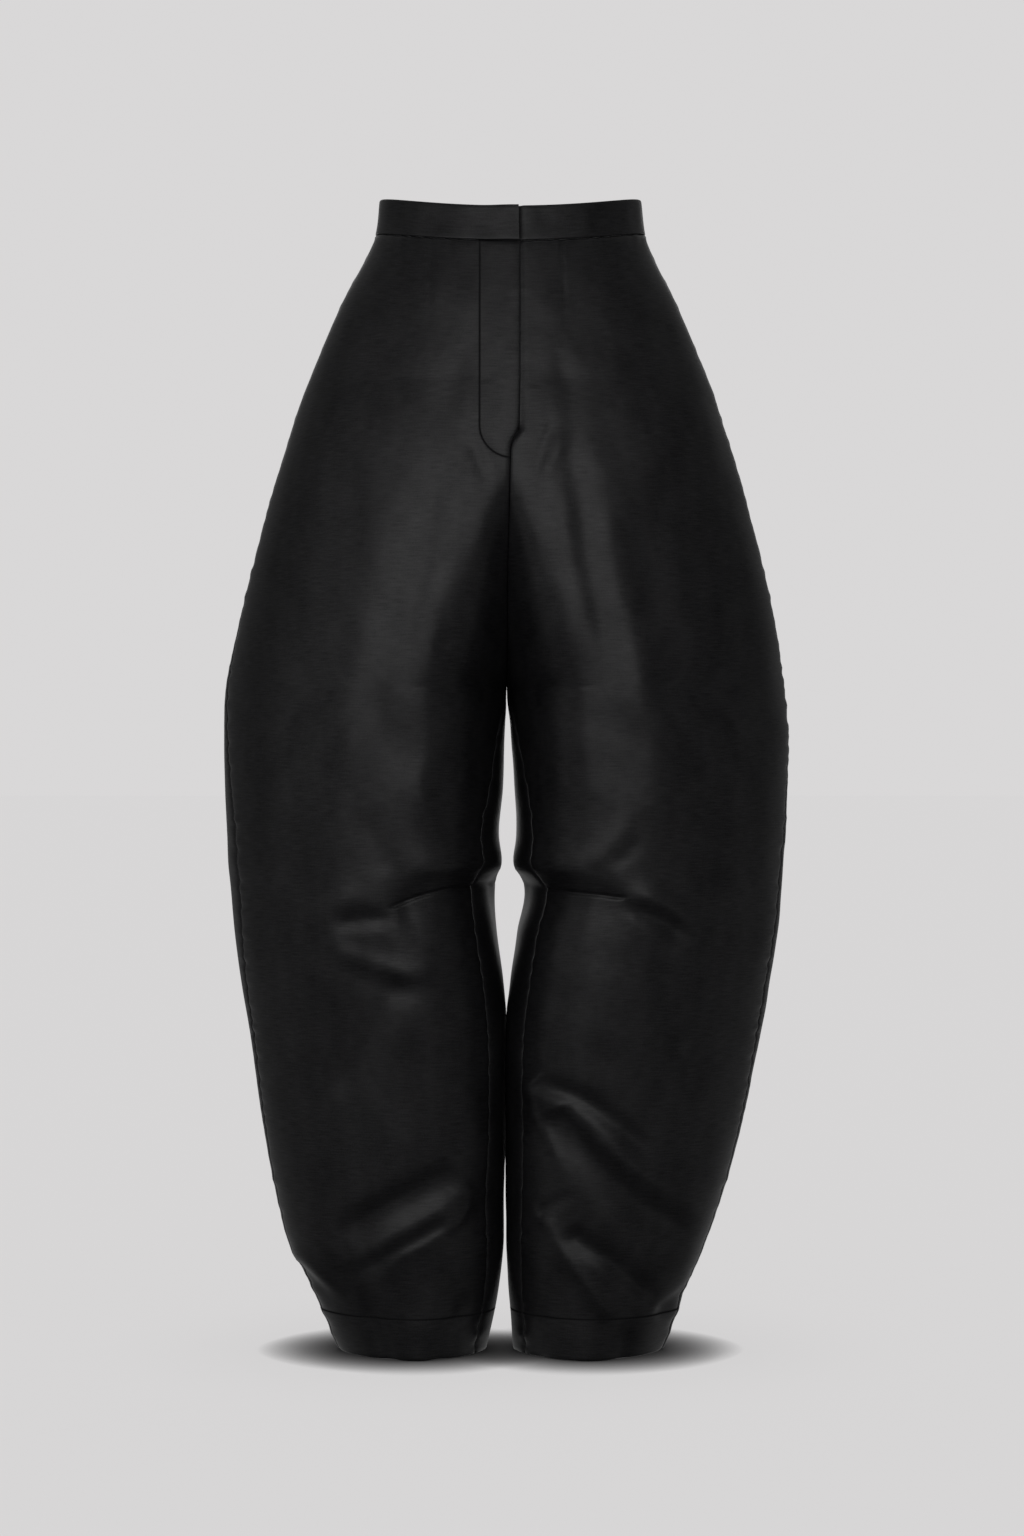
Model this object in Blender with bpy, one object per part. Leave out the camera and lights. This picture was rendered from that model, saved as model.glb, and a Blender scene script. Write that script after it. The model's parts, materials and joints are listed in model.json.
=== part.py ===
"""Barrel leg trousers in heavy black satin, filled out as when they are worn.

Metres, +Z up. The wearer faces -Y, and the wearer's right leg is on the -X side.
The origin is the middle of the waistband's ring, where the wearer's waist holds the trousers.
Heights below are counted up from the floor that the hems just reach.
"""

import math

import bpy
import numpy as np

# Driving sizes
ORIGIN_HEIGHT = 1.050  # middle of the waistband at the side seams
WAIST_SEAM = 1.035  # where the waistband is sewn on, at the side seams
BAND_WIDTH = 0.0315
SEAM_DIP_FRONT = 0.018  # how much lower the waist seam runs at the centre front
SEAM_RISE_BACK = 0.004
DIP_STARTS = 0.890  # below this height the rows of the cloth run level
FLY_END = 0.825
FLY_OVERLAP = 0.0075  # how far the right front's fly edge passes the centre front
FLY_OVERLAP_RUN = 0.055  # height over which the overlap grows, up from the fly's end
FLY_STRETCH = 0.040  # the cloth this near the middle moves with the fly's edges
FLY_UNDER_FROM = 0.040  # height above the fly's end at which the left edge goes under
FLY_DIP_WIDTH = 0.009  # the left front's dip, beyond the right front's edge
CROTCH = 0.612
CROTCH_CURVE_TOP = 0.890
CROTCH_CURVE_POWER = 2.2  # above 2, the curve is straighter at its top than an ellipse
FRONT_SKEW = 0.25  # above 0, the leg stands out most nearer to the middle, over the thigh
HEM_SKEW = 0.08
HEM_DEPTH = 0.040
CLOTH_WALL = 0.0018
HEM_WALL = 0.0034  # two layers where the hem is turned up
BAND_WALL = 0.0030  # two layers and an interlining
SHIELD_WALL = 0.0015
SEAM_GAP = 0.0003
LAYER_GAP = 0.0004
LEG_GAP = 0.0010  # least space between the two legs
CONTACT_LEAN = 0.08  # the legs press on a plane that leans this much from front to back

# Fly shield, the strip behind the fly opening
SHIELD_LEFT_EDGE = 0.020
SHIELD_RIGHT_EDGE = -0.028
SHIELD_LENGTH = 0.210

# Waistband ends at the centre front: the right end lies on the left one
BAND_OVER_END = 0.006
BAND_UNDER_END = -0.030
BAND_DIVE = 0.016  # length over which the left end slips under the right one

# How far round to the back of the leg the inseam moves below the crotch, in degrees
INSEAM_TURN = 31.0
INSEAM_TURN_LENGTH = 0.060

# Knee dart: height at the inseam, and how much its line drops towards its tip
DART_HEIGHT = 0.432
DART_DROP = 0.016
DART_REACH = 0.060  # rows this far above and below the dart bend with it

# The cloth's form, in millimetres: where the outer edge of each leg lies, the middle of the
# trousers, and the inner edge of each leg below the crotch, all as x. Then how far the cloth
# stands in front of and behind the side seams.
FORM_COLUMNS = ("height", "right_out", "right_in", "middle", "left_in", "left_out", "front", "back")
FORM = (
    (1070, -123, 0, 0, 0, 120, 92, 93),
    (1035, -127, 0, 0, 0, 124, 95, 97),
    (968, -160, 0, 0, 0, 154, 107, 116),
    (879, -196, 0, 0, 0, 190, 120, 137),
    (789, -224, -2, -2, -2, 217, 129, 147),
    (700, -248, -4, -4, -4, 240, 133, 146),
    (655, -258, -5, -4, -4, 248, 132, 140),
    (611, -266, -5, -5, -4, 254, 130, 134),
    (566, -268, -7, -4, -1, 257, 127, 129),
    (521, -267, -8, -4, 2, 256, 124, 125),
    (477, -265, -13, -5, 4, 254, 121, 121),
    (450, -264, -12, -5, 4, 252, 119, 119),
    (432, -262, -14, -5, 10, 251, 118, 117),
    (388, -258, -13, -5, 4, 247, 114, 114),
    (343, -252, -8, -5, -2, 240, 110, 110),
    (298, -244, -4, -5, -7, 232, 105, 106),
    (209, -231, -4, -6, -7, 213, 95, 97),
    (142, -219, -8, -7, -6, 195, 86, 88),
    (97, -207, -8, -7, -5, 179, 79, 81),
    (53, -185, -13, -8, -3, 161, 71, 73),
    (0, -162, -24, -12, 1, 141, 63, 66),
)

# Degrees that each side seam lies in front of the leg's outer edge
SIDE_SEAM_COLUMNS = ("height", "right", "left")
SIDE_SEAM = (
    (1070, 0, 0),
    (789, 0, 0),
    (611, 12, 3),
    (432, 24, 14),
    (343, 18, 17),
    (209, 12, 12),
    (0, 10, 10),
)

# The largest folds, in millimetres: positive heights stand out as ridges, negative ones are troughs.
# The line is given by (x, height) points as seen from the front, or through the cloth for the back.
# Columns: height of the fold, its half width, its line.
FRONT_RIGHT_FOLDS = (
    (5.0, 15, ((10, 458), (-34, 450), (-70, 443), (-104, 430))),
    (-5.0, 7, ((10, 434), (-27, 432), (-56, 430), (-83, 424), (-114, 413))),
    (3.0, 12, ((-149, 425), (-167, 412), (-160, 388), (-130, 367), (-83, 361), (-45, 382))),
    (-4.0, 10, ((-108, 411), (-137, 413), (-163, 417))),
    (-3.5, 16, ((-106, 366), (-128, 322), (-140, 286), (-160, 256))),
    (-6.0, 15, ((-40, 182), (-64, 172), (-93, 158), (-124, 142), (-149, 125), (-172, 110))),
    (4.0, 12, ((-40, 164), (-89, 139), (-148, 108))),
    (-4.0, 11, ((-62, 140), (-95, 119), (-132, 99))),
    (3.0, 10, ((-44, 140), (-78, 122), (-104, 104), (-122, 74))),
    (-4.0, 18, ((-60, 870), (-70, 793), (-76, 728), (-89, 675), (-104, 610), (-108, 560), (-92, 510))),
)
FRONT_LEFT_FOLDS = (
    (4.0, 15, ((-26, 458), (13, 451), (48, 444), (92, 430))),
    (-4.0, 7, ((-24, 434), (12, 431), (47, 428), (77, 426), (108, 424))),
    (-4.0, 9, ((85, 424), (117, 416), (139, 406), (158, 390))),
    (3.5, 13, ((154, 396), (169, 358), (173, 322), (169, 295), (154, 268))),
    (-2.5, 15, ((126, 360), (140, 322), (158, 292))),
    (-4.0, 12, ((30, 264), (77, 239), (116, 205))),
    (3.5, 12, ((10, 260), (47, 245), (87, 208), (130, 172))),
    (-6.0, 15, ((26, 246), (41, 231), (62, 204), (87, 176), (118, 151), (160, 122))),
    (4.0, 10, ((26, 150), (53, 96), (90, 48))),
    (-4.0, 10, ((44, 128), (75, 84), (92, 50))),
    (-3.5, 18, ((50, 880), (54, 779), (60, 714), (76, 650), (81, 584), (81, 490))),
)
BACK_RIGHT_FOLDS = (
    (-5.0, 20, ((-20, 640), (-70, 560), (-150, 500), (-220, 470))),
    (4.0, 18, ((-30, 590), (-95, 500), (-170, 440))),
    (-5.0, 16, ((-30, 420), (-95, 400), (-165, 350))),
    (-5.0, 15, ((-40, 240), (-100, 200), (-175, 150))),
    (4.0, 14, ((-50, 205), (-110, 160), (-160, 110))),
)
BACK_LEFT_FOLDS = (
    (-5.0, 20, ((15, 650), (60, 555), (140, 490), (210, 455))),
    (4.0, 18, ((20, 580), (85, 480), (150, 425))),
    (-5.0, 16, ((30, 430), (100, 390), (170, 355))),
    (-5.0, 15, ((35, 225), (90, 180), (165, 150))),
    (4.0, 14, ((30, 190), (80, 140), (140, 105))),
)

# Rows of the mesh, from the hem up: (from, to, steps) in millimetres
ROW_ZONES = (
    (0, 39, 2),
    (42, 250, 11),
    (250, 390, 6),
    (390, 474, 8),
    (474, 612, 7),
    (612, 700, 5),
    (700, 825, 4),
    (825, 885, 4),
    (885, 1035, 5),
)
FRONT_COLUMNS = 19
FRONT_COLUMN_POWER = 1.3  # above 1, the columns stand closer at the fly and the inseam
BACK_COLUMNS = 13
BAND_COLUMNS = 60
LINE_STEPS = 24  # points read along each fold's line

BLACK_SATIN = ((0.012, 0.012, 0.013, 1.0), 0.42)  # colour and roughness


def smooth(table, columns, name, heights):
    """The named column at the given heights, on a smooth curve through the table's rows."""
    rows = sorted(table)
    at = np.array([row[0] for row in rows]) / 1000.0
    value = np.array([row[columns.index(name)] for row in rows], float)
    slope = np.gradient(value, at)
    heights = np.clip(heights, at[0], at[-1])
    i = np.clip(np.searchsorted(at, heights) - 1, 0, len(at) - 2)
    span = at[i + 1] - at[i]
    t = (heights - at[i]) / span
    return (
        (2 * t**3 - 3 * t**2 + 1) * value[i]
        + (t**3 - 2 * t**2 + t) * span * slope[i]
        + (3 * t**2 - 2 * t**3) * value[i + 1]
        + (t**3 - t**2) * span * slope[i + 1]
    )


def form(name, heights):
    return smooth(FORM, FORM_COLUMNS, name, heights) / 1000.0


def ease(t):
    t = np.clip(t, 0.0, 1.0)
    return t * t * (3 - 2 * t)


def end_angle(heights):
    """Angle round the leg, from its outer edge, at which the cloth meets the middle plane.

    It is 90 degrees down to the top of the crotch curve, which turns it to 180 degrees.
    """
    down = np.clip((CROTCH_CURVE_TOP - heights) / (CROTCH_CURVE_TOP - CROTCH), 0.0, 1.0)
    return math.pi - np.arcsin(np.sqrt(1 - down**CROTCH_CURVE_POWER))


def front_skew(heights):
    below_hips = ease((CROTCH_CURVE_TOP - heights) / 0.220)
    return below_hips * (HEM_SKEW + (FRONT_SKEW - HEM_SKEW) * ease(heights / 0.350))


def leg_point(leg, heights, angles):
    """Points of the smooth form. Angles run from the outer edge, positive round the front."""
    out = form(leg + "_out", heights)
    inner = np.where(heights > CROTCH, form("middle", heights), form(leg + "_in", heights))
    angles = np.where(angles < -math.pi, angles + 2 * math.pi, angles)
    ends = np.where(heights > CROTCH, end_angle(heights), math.pi)
    half_width = (out - inner) / (1 - np.cos(ends))
    depth = np.where(angles >= 0, form("front", heights), form("back", heights))
    x = out - half_width * (1 - np.cos(angles))
    skew = np.where(angles >= 0, front_skew(heights), 0.0)
    y = -depth * np.sin(angles) * (1 - skew * np.cos(angles)) / (1 + skew**2 / 2)
    return np.stack([x, y, heights], axis=-1)


def front_point(leg, x, heights):
    """Points of the smooth form on the front, above the crotch, at the given x."""
    out = form(leg + "_out", heights)
    half_width = (out - form("middle", heights)) / (1 - np.cos(end_angle(heights)))
    return leg_point(leg, heights, np.arccos(np.clip(1 - (out - x) / half_width, -1, 1)))


def leg_normal(leg, heights, angles):
    """Outward directions of the smooth form, the same for every panel that shares a point."""
    around = leg_point(leg, heights, angles + 0.01) - leg_point(leg, heights, angles - 0.01)
    up = leg_point(leg, heights + 0.002, angles) - leg_point(leg, heights - 0.002, angles)
    normal = np.cross(around, up) if leg == "right" else np.cross(up, around)
    return normal / np.linalg.norm(normal, axis=-1, keepdims=True)


def side_seam_angle(leg, heights):
    return np.radians(smooth(SIDE_SEAM, SIDE_SEAM_COLUMNS, leg, heights))


def inseam_angle(heights):
    below = np.clip(CROTCH - heights, 0.0, None)
    return math.pi - math.radians(INSEAM_TURN) * (1 - np.exp(-below / INSEAM_TURN_LENGTH))


def inner_edge_angle(heights):
    """The centre front seam down to the crotch, and the inseam below it."""
    return np.where(heights > CROTCH, end_angle(heights), inseam_angle(heights))


def waist_dip(angles):
    """How the waist seam runs above or below its height at the sides."""
    across = np.abs(np.sin(angles)) ** 3
    return np.where(angles > 0, -SEAM_DIP_FRONT * across, SEAM_RISE_BACK * across)


def row_heights(rows, angles, dart_side):
    """Bends level rows to follow the waist seam at the top and the knee dart in front."""
    near_waist = ease((rows - DIP_STARTS) / (WAIST_SEAM - DIP_STARTS))
    heights = rows + waist_dip(angles) * near_waist
    near_dart = ease(1 - np.abs(rows - DART_HEIGHT) / DART_REACH)
    return heights - DART_DROP * near_dart * dart_side


def line_points(line):
    """Points on a smooth curve through a fold's points, in metres."""
    at = np.arange(len(line), dtype=float)
    points = np.array(line, float) / 1000.0
    slope = np.gradient(points, at, axis=0)
    t = np.linspace(0, len(line) - 1, LINE_STEPS)
    i = np.minimum(t.astype(int), len(line) - 2)
    f = (t - i)[:, None]
    return (
        (2 * f**3 - 3 * f**2 + 1) * points[i]
        + (f**3 - 2 * f**2 + f) * slope[i]
        + (3 * f**2 - 2 * f**3) * points[i + 1]
        + (f**3 - f**2) * slope[i + 1]
    )


def relief(x, heights, folds):
    """Height of the folds at each point, which fade out towards the ends of their lines."""
    total = np.zeros_like(x)
    for fold_height, half_width, line in folds:
        curve = line_points(line)
        dx = x[..., None] - curve[:, 0]
        dz = heights[..., None] - curve[:, 1]
        away = np.sqrt(dx**2 + dz**2)
        nearest = np.argmin(away, axis=-1)
        along = nearest / (LINE_STEPS - 1)
        fade = ease(along / 0.22) * ease((1 - along) / 0.22)
        across = np.exp(-((away.min(axis=-1) / (half_width / 1000.0)) ** 2))
        total += fold_height / 1000.0 * across * fade
    return total


def leg_relief(leg, points, folds):
    """Folds of the front and of the back, which blend into each other at the sides."""
    x, y, heights = points[..., 0], points[..., 1], points[..., 2]
    front, back = folds
    in_front = ease(0.5 - y / 0.05)
    total = relief(x, heights, front) * in_front + relief(x, heights, back) * (1 - in_front)
    off_middle = np.abs(x - form("middle", heights))
    return total * np.where(heights > CROTCH, ease(off_middle / 0.02), 1.0)


def shape_fly(leg, points, normals):
    """The right front's edge passes the middle, and the left front's edge slips under it."""
    x, heights = points[..., 0], points[..., 2]
    near_edge = ease(1 - np.abs(x - form("middle", heights)) / FLY_STRETCH)
    above_end = heights - FLY_END
    overlap = FLY_OVERLAP * ease(above_end / FLY_OVERLAP_RUN)
    if leg == "right":
        points[..., 0] += overlap * near_edge
        return
    beside = 1 - ease((above_end - FLY_UNDER_FROM) / 0.020)
    beside = np.where(above_end > 0, beside, 0.0)
    points[..., 0] += (overlap + SEAM_GAP) * beside * near_edge
    under = ease((above_end - 0.005) / 0.030)
    under = under * ease((overlap + FLY_DIP_WIDTH - points[..., 0]) / 0.0055)
    points -= normals * under[..., None] * (CLOTH_WALL + LAYER_GAP)


def keep_legs_apart(leg, points):
    """Flattens each leg where it would press into the other."""
    plane = form("middle", points[..., 2]) + CONTACT_LEAN * points[..., 1]
    below = points[..., 2] < CROTCH - 0.001
    if leg == "right":
        limit = np.minimum(points[..., 0], plane - LEG_GAP / 2)
    else:
        limit = np.maximum(points[..., 0], plane + LEG_GAP / 2)
    points[..., 0] = np.where(below, limit, points[..., 0])


def pull_in_edges(leg, points):
    """Moves the side seam, the inner edge and the top in, for the gaps between the pieces."""
    away = -1 if leg == "right" else 1
    step = points[:, 1] - points[:, 0]
    points[:, 0] += step / np.linalg.norm(step, axis=-1, keepdims=True) * SEAM_GAP / 2
    above = points[:, -1, 2] > CROTCH - 0.001
    below = points[:, -1, 2] < CROTCH + 0.001
    step = points[below, -2] - points[below, -1]
    points[below, -1] += step / np.linalg.norm(step, axis=-1, keepdims=True) * SEAM_GAP / 2
    points[above, -1, 0] += away * SEAM_GAP / 2
    points[-1, :, 2] -= SEAM_GAP / 2


def panel_grid(leg, face, columns, folds):
    """A grid of points on the outside of one leg panel, rows from the hem up."""
    rows = np.concatenate([np.linspace(a, b, n + 1) for a, b, n in ROW_ZONES]) / 1000.0
    rows = np.unique(np.round(rows, 6))
    across = np.linspace(0, 1, columns + 1)
    if face == "front":
        across = 1 - (1 - across) ** FRONT_COLUMN_POWER
    rows, across = np.meshgrid(rows, across, indexing="ij")
    seam, edge = side_seam_angle(leg, rows), inner_edge_angle(rows)
    if face == "back":
        edge = np.where(rows > CROTCH, -edge, edge - 2 * math.pi)
    angles = seam + (edge - seam) * across
    dart_side = ease((1 - across) / 0.45) * ease(across / 0.3) if face == "front" else 0.0
    heights = row_heights(rows, angles, dart_side)
    points = leg_point(leg, heights, angles)
    normals = leg_normal(leg, heights, angles)
    points += normals * leg_relief(leg, points, folds)[..., None]
    keep_legs_apart(leg, points)
    if face == "front":
        shape_fly(leg, points, normals)
    pull_in_edges(leg, points)
    points[0, :, 2] = 0.0
    return points, normals


def wall_object(name, outer, inward, walls, outside_first):
    """A closed wall of cloth between a grid of points and the same grid moved inwards."""
    inner = outer + inward * walls[:, None, None]
    count_up, count_across = outer.shape[:2]
    count = count_up * count_across
    at = np.arange(count).reshape(count_up, count_across)
    low, right, high, left = at[:-1, :-1], at[:-1, 1:], at[1:, 1:], at[1:, :-1]
    quads = np.stack([low, right, high, left], axis=-1).reshape(-1, 4)
    ring = np.concatenate([at[0, :-1], at[:-1, -1], at[-1, :0:-1], at[:0:-1, 0]])
    following = np.roll(ring, -1)
    rim = np.stack([following, ring, ring + count, following + count], axis=-1)
    halves = np.concatenate([quads[:, [0, 1, 2]], quads[:, [0, 2, 3]]])
    rim = np.concatenate([rim[:, [0, 1, 2]], rim[:, [0, 2, 3]]])
    faces = np.concatenate([halves, halves[:, ::-1] + count, rim])
    if not outside_first:
        faces = faces[:, ::-1]
    points = np.concatenate([outer.reshape(-1, 3), inner.reshape(-1, 3)])
    points[:, 2] = np.maximum(points[:, 2], 0.0) - ORIGIN_HEIGHT
    mesh = bpy.data.meshes.new(name)
    mesh.from_pydata(points.tolist(), [], faces.tolist())
    mesh.shade_smooth()
    mesh.set_sharp_from_angle(angle=math.radians(50))
    obj = bpy.data.objects.new(name, mesh)
    bpy.context.scene.collection.objects.link(obj)
    mesh.materials.append(black_satin(name))


def black_satin(piece):
    material = bpy.data.materials.new(piece + "_satin")
    material.use_nodes = True
    colour, roughness = BLACK_SATIN
    shader = material.node_tree.nodes["Principled BSDF"]
    shader.inputs["Base Color"].default_value = colour
    shader.inputs["Roughness"].default_value = roughness
    material.diffuse_color = colour
    return material


def leg_panel(leg, face, columns, folds):
    points, normals = panel_grid(leg, face, columns, folds)
    walls = np.where(points[:, 0, 2] < HEM_DEPTH, HEM_WALL, CLOTH_WALL)
    same_way = (leg == "right") == (face == "front")
    wall_object(f"{face}_{leg}", points, -normals, walls, same_way)


def waistband():
    """One strip from the over end at the centre front, round the back, to the under end."""
    half = 0.125
    start = math.acos(-BAND_OVER_END / half)
    dive = math.acos((BAND_OVER_END + BAND_DIVE) / half)
    stop = math.acos(BAND_UNDER_END / half)
    quarter = BAND_COLUMNS // 4
    parts = (
        ("right", start, 0.0, quarter, 0),
        ("right", 0.0, -math.pi / 2, quarter, 0),
        ("left", -math.pi / 2, 0.0, quarter, 0),
        ("left", 0.0, dive, quarter, 0),
        ("left", dive, stop, 7, 1),
    )
    grids, directions = [], []
    for leg, first, last, steps, dives in parts:
        count = steps + dives
        angles = np.linspace(first, last, count, endpoint=bool(dives))
        low = WAIST_SEAM + waist_dip(angles) + SEAM_GAP / 2
        heights = low[None] + np.linspace(0, BAND_WIDTH, 3)[:, None]
        angles = np.broadcast_to(angles, heights.shape)
        under = ease(np.arange(count) / 2.0) * dives * (BAND_WALL + LAYER_GAP)
        inward = -leg_normal(leg, heights, angles)
        grids.append(leg_point(leg, heights, angles) + inward * under[None, :, None])
        directions.append(inward)
    points = np.concatenate(grids, axis=1)
    walls = np.full(len(points), BAND_WALL)
    wall_object("waistband", points, np.concatenate(directions, axis=1), walls, False)


def fly_shield():
    """The strip behind the fly opening, behind the left front's edge as well."""
    top = WAIST_SEAM - SEAM_DIP_FRONT - 0.002
    heights = np.linspace(top - SHIELD_LENGTH, top, 9)
    across = np.linspace(SHIELD_LEFT_EDGE, SHIELD_RIGHT_EDGE, 7)
    heights, x = np.meshgrid(heights, across, indexing="ij")
    right, left = front_point("right", x, heights), front_point("left", x, heights)
    points = np.where(x[..., None] < form("middle", heights)[..., None], right, left)
    points[..., 1] += 2 * CLOTH_WALL + 3 * LAYER_GAP
    inward = np.broadcast_to([0.0, 1.0, 0.0], points.shape)
    wall_object("fly_shield", points, inward, np.full(len(points), SHIELD_WALL), False)


def main():
    for obj in list(bpy.data.objects):
        bpy.data.objects.remove(obj)
    right_folds = (FRONT_RIGHT_FOLDS, BACK_RIGHT_FOLDS)
    left_folds = (FRONT_LEFT_FOLDS, BACK_LEFT_FOLDS)
    leg_panel("right", "front", FRONT_COLUMNS, right_folds)
    leg_panel("left", "front", FRONT_COLUMNS, left_folds)
    leg_panel("right", "back", BACK_COLUMNS, right_folds)
    leg_panel("left", "back", BACK_COLUMNS, left_folds)
    waistband()
    fly_shield()


main()
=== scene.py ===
import json
import math

import bpy
import numpy as np
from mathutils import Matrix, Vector
from mathutils.bvhtree import BVHTree

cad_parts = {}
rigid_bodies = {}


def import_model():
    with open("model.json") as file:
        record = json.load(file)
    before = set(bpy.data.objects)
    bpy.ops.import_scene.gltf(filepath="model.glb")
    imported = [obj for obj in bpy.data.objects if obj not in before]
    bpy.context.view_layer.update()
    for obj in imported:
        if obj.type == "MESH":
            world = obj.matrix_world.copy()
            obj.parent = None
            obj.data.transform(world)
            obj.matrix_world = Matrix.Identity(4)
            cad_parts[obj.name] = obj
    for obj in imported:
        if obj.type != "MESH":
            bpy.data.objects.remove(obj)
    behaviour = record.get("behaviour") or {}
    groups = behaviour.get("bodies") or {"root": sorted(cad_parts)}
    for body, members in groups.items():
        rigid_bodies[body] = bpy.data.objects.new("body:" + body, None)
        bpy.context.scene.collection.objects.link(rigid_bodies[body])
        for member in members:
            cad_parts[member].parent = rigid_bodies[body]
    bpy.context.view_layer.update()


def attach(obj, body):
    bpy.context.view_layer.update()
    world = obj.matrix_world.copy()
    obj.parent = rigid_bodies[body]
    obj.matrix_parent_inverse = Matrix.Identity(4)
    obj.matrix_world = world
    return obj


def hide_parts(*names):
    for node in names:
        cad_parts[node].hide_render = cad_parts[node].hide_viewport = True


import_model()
scene = bpy.context.scene
print("frame loaded")

# Heights are counted up from the floor and change to the part's frame when a mesh is made.
waistHeight = 1.050

camera = {"distance": 3.0, "height": 0.540, "lens": 75.6}
cameraData = bpy.data.cameras.new("camera")
cameraData.lens = camera["lens"]
cameraObject = bpy.data.objects.new("camera", cameraData)
cameraObject.location = (0, -camera["distance"], camera["height"] - waistHeight)
cameraObject.rotation_euler = (math.pi / 2, 0, 0)
scene.collection.objects.link(cameraObject)
scene.camera = cameraObject


# Curves and soft steps, used by every piece
def ease(t):
    t = np.clip(t, 0.0, 1.0)
    return t * t * (3 - 2 * t)


def bend(a, b, slopeA, slopeB, t):
    return (
        (2 * t**3 - 3 * t**2 + 1) * a
        + (t**3 - 2 * t**2 + t) * slopeA
        + (3 * t**2 - 2 * t**3) * b
        + (t**3 - t**2) * slopeB
    )


def column(table, names, name, heights):
    rows = sorted(table)
    at = np.array([row[0] for row in rows]) / 1000
    value = np.array([row[names.index(name)] for row in rows], float)
    slope = np.gradient(value, at)
    heights = np.clip(heights, at[0], at[-1])
    i = np.clip(np.searchsorted(at, heights) - 1, 0, len(at) - 2)
    span = at[i + 1] - at[i]
    return bend(value[i], value[i + 1], span * slope[i], span * slope[i + 1], (heights - at[i]) / span)


def smoothLine(points, step=0.0015):
    points = np.array(points, float) / 1000
    slope = np.gradient(points, axis=0)
    length = np.linalg.norm(np.diff(points, axis=0), axis=1).sum()
    t = np.linspace(0, len(points) - 1, max(12, int(length / step)))
    i = np.minimum(t.astype(int), len(points) - 2)
    return bend(points[i], points[i + 1], slope[i], slope[i + 1], (t - i)[:, None])


# The filled-out form, the same as the solids'
shape = {
    "waistSeam": 1.035,
    "seamDipFront": 0.0195,
    "seamRiseBack": 0.004,
    "dipStarts": 0.890,
    "crotch": 0.612,
    "crotchCurveTop": 0.890,
    "crotchCurvePower": 2.2,
    "frontSkew": 0.25,
    "hemSkew": 0.08,
    "inseamTurn": 31.0,
    "inseamTurnLength": 0.060,
    "legGap": 0.0010,
    "contactLean": 0.08,
    "seamGap": 0.0003,
}
formNames = ("height", "rightOut", "rightIn", "middle", "leftIn", "leftOut", "front", "back")
formRows = (
    (1070, -123, 0, 0, 0, 120, 92, 93),
    (1035, -127, 0, 0, 0, 124, 95, 97),
    (968, -160, 0, 0, 0, 154, 107, 116),
    (879, -196, 0, 0, 0, 190, 120, 137),
    (789, -224, -2, -2, -2, 217, 129, 147),
    (700, -248, -4, -4, -4, 240, 133, 146),
    (655, -258, -5, -4, -4, 248, 132, 140),
    (611, -266, -5, -5, -4, 254, 130, 134),
    (566, -268, -7, -4, -1, 257, 127, 129),
    (521, -267, -8, -4, 2, 256, 124, 125),
    (477, -265, -13, -5, 4, 254, 121, 121),
    (450, -264, -12, -5, 4, 252, 119, 119),
    (432, -262, -14, -5, 10, 251, 118, 117),
    (388, -258, -13, -5, 4, 247, 114, 114),
    (343, -252, -8, -5, -2, 240, 110, 110),
    (298, -244, -4, -5, -7, 232, 105, 106),
    (209, -231, -4, -6, -7, 213, 95, 97),
    (142, -219, -8, -7, -6, 195, 86, 88),
    (97, -207, -8, -7, -5, 179, 79, 81),
    (53, -185, -13, -8, -3, 161, 71, 73),
    (0, -162, -24, -12, 1, 141, 63, 66),
)
sideSeamNames = ("height", "right", "left")  # degrees in front of the leg's outer edge
sideSeamRows = (
    (1070, 0, 0),
    (789, 0, 0),
    (611, 12, 3),
    (432, 24, 14),
    (343, 18, 17),
    (209, 12, 12),
    (0, 10, 10),
)


def form(name, heights):
    return column(formRows, formNames, name, heights) / 1000


def endAngle(heights):
    drop = shape["crotchCurveTop"] - shape["crotch"]
    down = np.clip((shape["crotchCurveTop"] - heights) / drop, 0, 1)
    return math.pi - np.arcsin(np.sqrt(1 - down ** shape["crotchCurvePower"]))


def legPoint(leg, heights, angles):
    aboveCrotch = heights > shape["crotch"]
    out = form(leg + "Out", heights)
    parting = ease((shape["crotch"] - heights) / 0.030)
    inner = form("middle", heights) * (1 - parting) + form(leg + "In", heights) * parting
    angles = np.where(angles < -math.pi, angles + 2 * math.pi, angles)
    ends = np.where(aboveCrotch, endAngle(heights), math.pi)
    halfWidth = (out - inner) / (1 - np.cos(ends))
    hips = ease((shape["crotchCurveTop"] - heights) / 0.220)
    skew = shape["hemSkew"] + (shape["frontSkew"] - shape["hemSkew"]) * ease(heights / 0.350)
    skew = np.where(angles >= 0, hips * skew, 0.0)
    depth = np.where(angles >= 0, form("front", heights), form("back", heights))
    x = out - halfWidth * (1 - np.cos(angles))
    pointed = np.abs(np.sin(angles)) ** (0.40 * ease((0.11 - heights) / 0.11))  # the hem is pressed flat
    y = -depth * pointed * np.sin(angles) * (1 - skew * np.cos(angles)) / (1 + skew**2 / 2)
    return np.stack([x, y, heights], axis=-1)


def legNormal(leg, heights, angles):
    around = legPoint(leg, heights, angles + 0.01) - legPoint(leg, heights, angles - 0.01)
    up = legPoint(leg, heights + 0.002, angles) - legPoint(leg, heights - 0.002, angles)
    normal = np.cross(around, up) if leg == "right" else np.cross(up, around)
    return normal / np.linalg.norm(normal, axis=-1, keepdims=True)


def waistDip(angles):
    across = np.abs(np.sin(angles))
    return np.where(angles > 0, -shape["seamDipFront"] * across**1.7, shape["seamRiseBack"] * across**3)


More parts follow.
